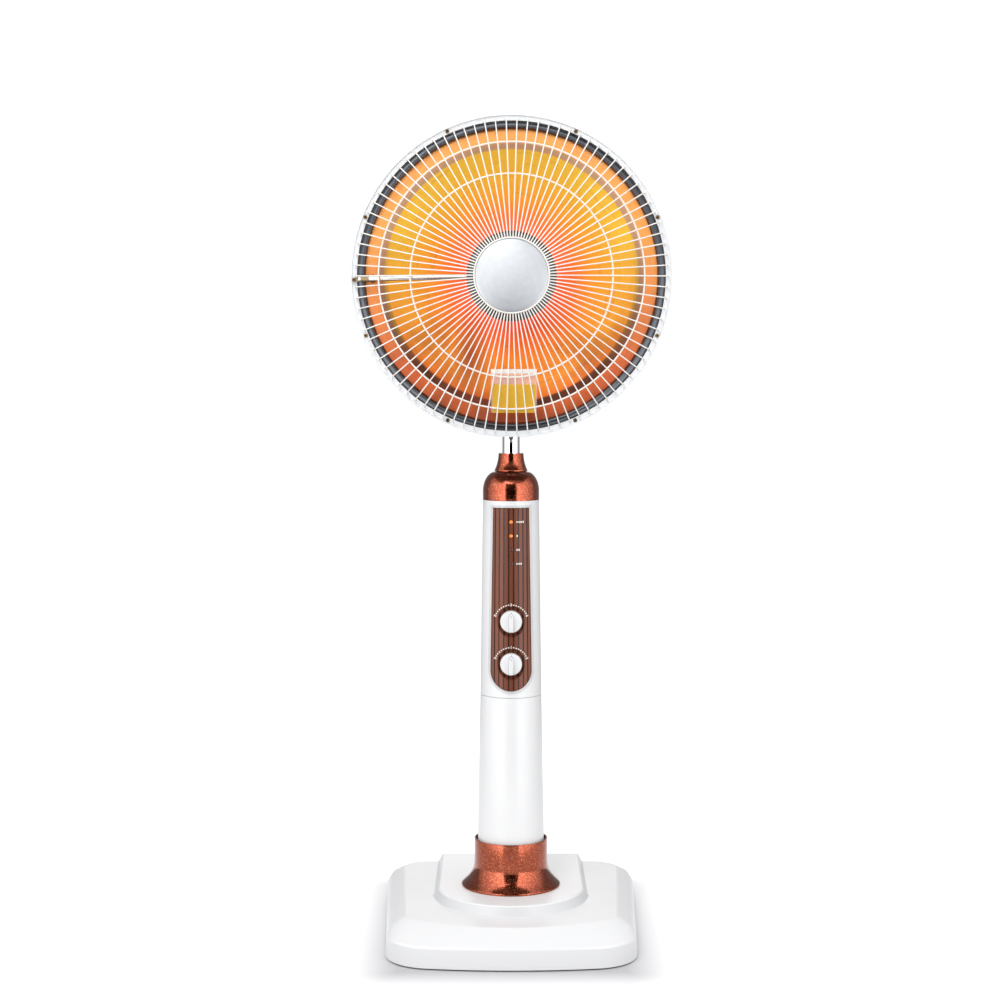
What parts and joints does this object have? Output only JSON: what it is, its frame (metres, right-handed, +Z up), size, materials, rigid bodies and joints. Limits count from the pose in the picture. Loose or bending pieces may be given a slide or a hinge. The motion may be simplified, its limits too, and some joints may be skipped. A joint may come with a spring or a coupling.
{
  "type": "parabolic heater",
  "caption": "Free-standing parabolic dish heater: wire-guarded reflector on a telescopic chrome pole, control column with two knobs and a weighted base.",
  "frame": {"origin": "on the floor, under the axis of the column", "axes": "+Z up, -Y towards the front of the dish and the controls, +X to the right of someone facing the front"},
  "size_m": [0.4287, 0.424, 1.127],
  "materials": {
    "white_cover": "gloss white moulding",
    "white_column": "gloss white moulding",
    "white_knob": "gloss white moulding",
    "white_rim": "bright white enamel",
    "white_wire": "white powder coat",
    "copper_paint": "copper metallic lacquer",
    "brown_panel": "brown, ribbed",
    "black_plastic": "matte",
    "black_paint": "black enamel",
    "amber_lamp": "lit lamp lens",
    "clear_lamp": "unlit lamp lens",
    "circuit_board": "solder mask",
    "bare_steel": "zinc plated",
    "screw_steel": "zinc plated",
    "cast_iron": "cast, black",
    "chrome": "mirror chrome",
    "dark_chrome": "black chrome",
    "silver_disc": "satin spun disc",
    "gold_dish": "polished, gold anodised",
    "yellow_plate": "yellow enamelled plate, bare",
    "brass_screws": "aged brass",
    "brass_fitting": "bright brass",
    "ceramic": "unglazed ceramic",
    "glowing_coil": "red-hot resistance wire",
    "lead_sleeve": "glass-fibre sleeve",
    "rubber": "black rubber"
  },
  "bodies": {
    "stand": {"base_cover": "white_cover", "base_plate": "bare_steel", "ballast": "cast_iron", "rubber_feet": "rubber", "base_screws": "screw_steel", "stand_socket": "cast_iron", "socket_bolts": "screw_steel", "stand_tube": "bare_steel", "stop_pin": "bare_steel", "tip_switch": "black_plastic", "cord_gland": "black_plastic", "base_collar": "copper_paint", "lower_column": "white_column", "housing_front": "white_column", "housing_back": "white_column", "housing_screws": "screw_steel", "panel_bezel": "white_column", "control_panel": "brown_panel", "lamps_lit": "amber_lamp", "lamps_unlit": "clear_lamp", "lamp_board": "circuit_board", "timer_body": "black_plastic", "selector_body": "black_plastic", "column_cap": "copper_paint", "collet_bush": "black_plastic"},
    "mast": {"pole": "chrome", "pole_stop": "black_plastic", "swing_housing": "white_cover", "swing_motor": "bare_steel", "swing_lid": "white_cover"},
    "yoke": {"swing_shaft": "bare_steel", "yoke": "black_paint", "tilt_bolt": "screw_steel"},
    "head": {"head_bracket": "black_paint", "head_screws": "screw_steel", "rear_cover": "white_cover", "terminal_block": "ceramic", "reflector": "gold_dish", "bead_ring": "dark_chrome", "rim_band": "white_rim", "rim_screws": "brass_screws", "guard_wires": "white_wire", "guard_ring_inner": "white_wire", "guard_ring_middle": "white_wire", "guard_hub_ring": "white_wire", "hub_disc": "silver_disc", "guard_plate": "yellow_plate", "element_shield": "dark_chrome", "ceramic_core": "ceramic", "heating_coil": "glowing_coil", "support_rod": "chrome", "rod_fitting": "brass_fitting", "element_lead": "lead_sleeve", "lead_grommet": "rubber"},
    "timer_dial": {"timer_shaft": "bare_steel", "timer_knob": "white_knob"},
    "selector_dial": {"selector_shaft": "bare_steel", "selector_knob": "white_knob"},
    "collar": {"lock_collar": "copper_paint"}
  },
  "joints": [
    {"name": "height_slide", "type": "slide", "parent": "stand", "child": "mast", "axis": [0, 0, 1], "range_m": [0, 0.2]},
    {"name": "swing", "type": "hinge", "parent": "mast", "child": "yoke", "pos_m": [0, 0, 0.813], "axis": [0, 0, 1], "range_deg": [-40, 40]},
    {"name": "tilt", "type": "hinge", "parent": "yoke", "child": "head", "pos_m": [0, 0, 0.838], "axis": [1, 0, 0], "range_deg": [-20, 10]},
    {"name": "timer_turn", "type": "hinge", "parent": "stand", "child": "timer_dial", "pos_m": [0, -0.04, 0.4404], "axis": [0, 1, 0], "range_deg": [-75, 75]},
    {"name": "selector_turn", "type": "hinge", "parent": "stand", "child": "selector_dial", "pos_m": [0, -0.04, 0.3812], "axis": [0, 1, 0], "range_deg": [-75, 75]},
    {"name": "collar_lock", "type": "hinge", "parent": "stand", "child": "collar", "pos_m": [0, 0, 0.66], "axis": [0, 0, 1], "range_deg": [0, 90]}
  ]
}
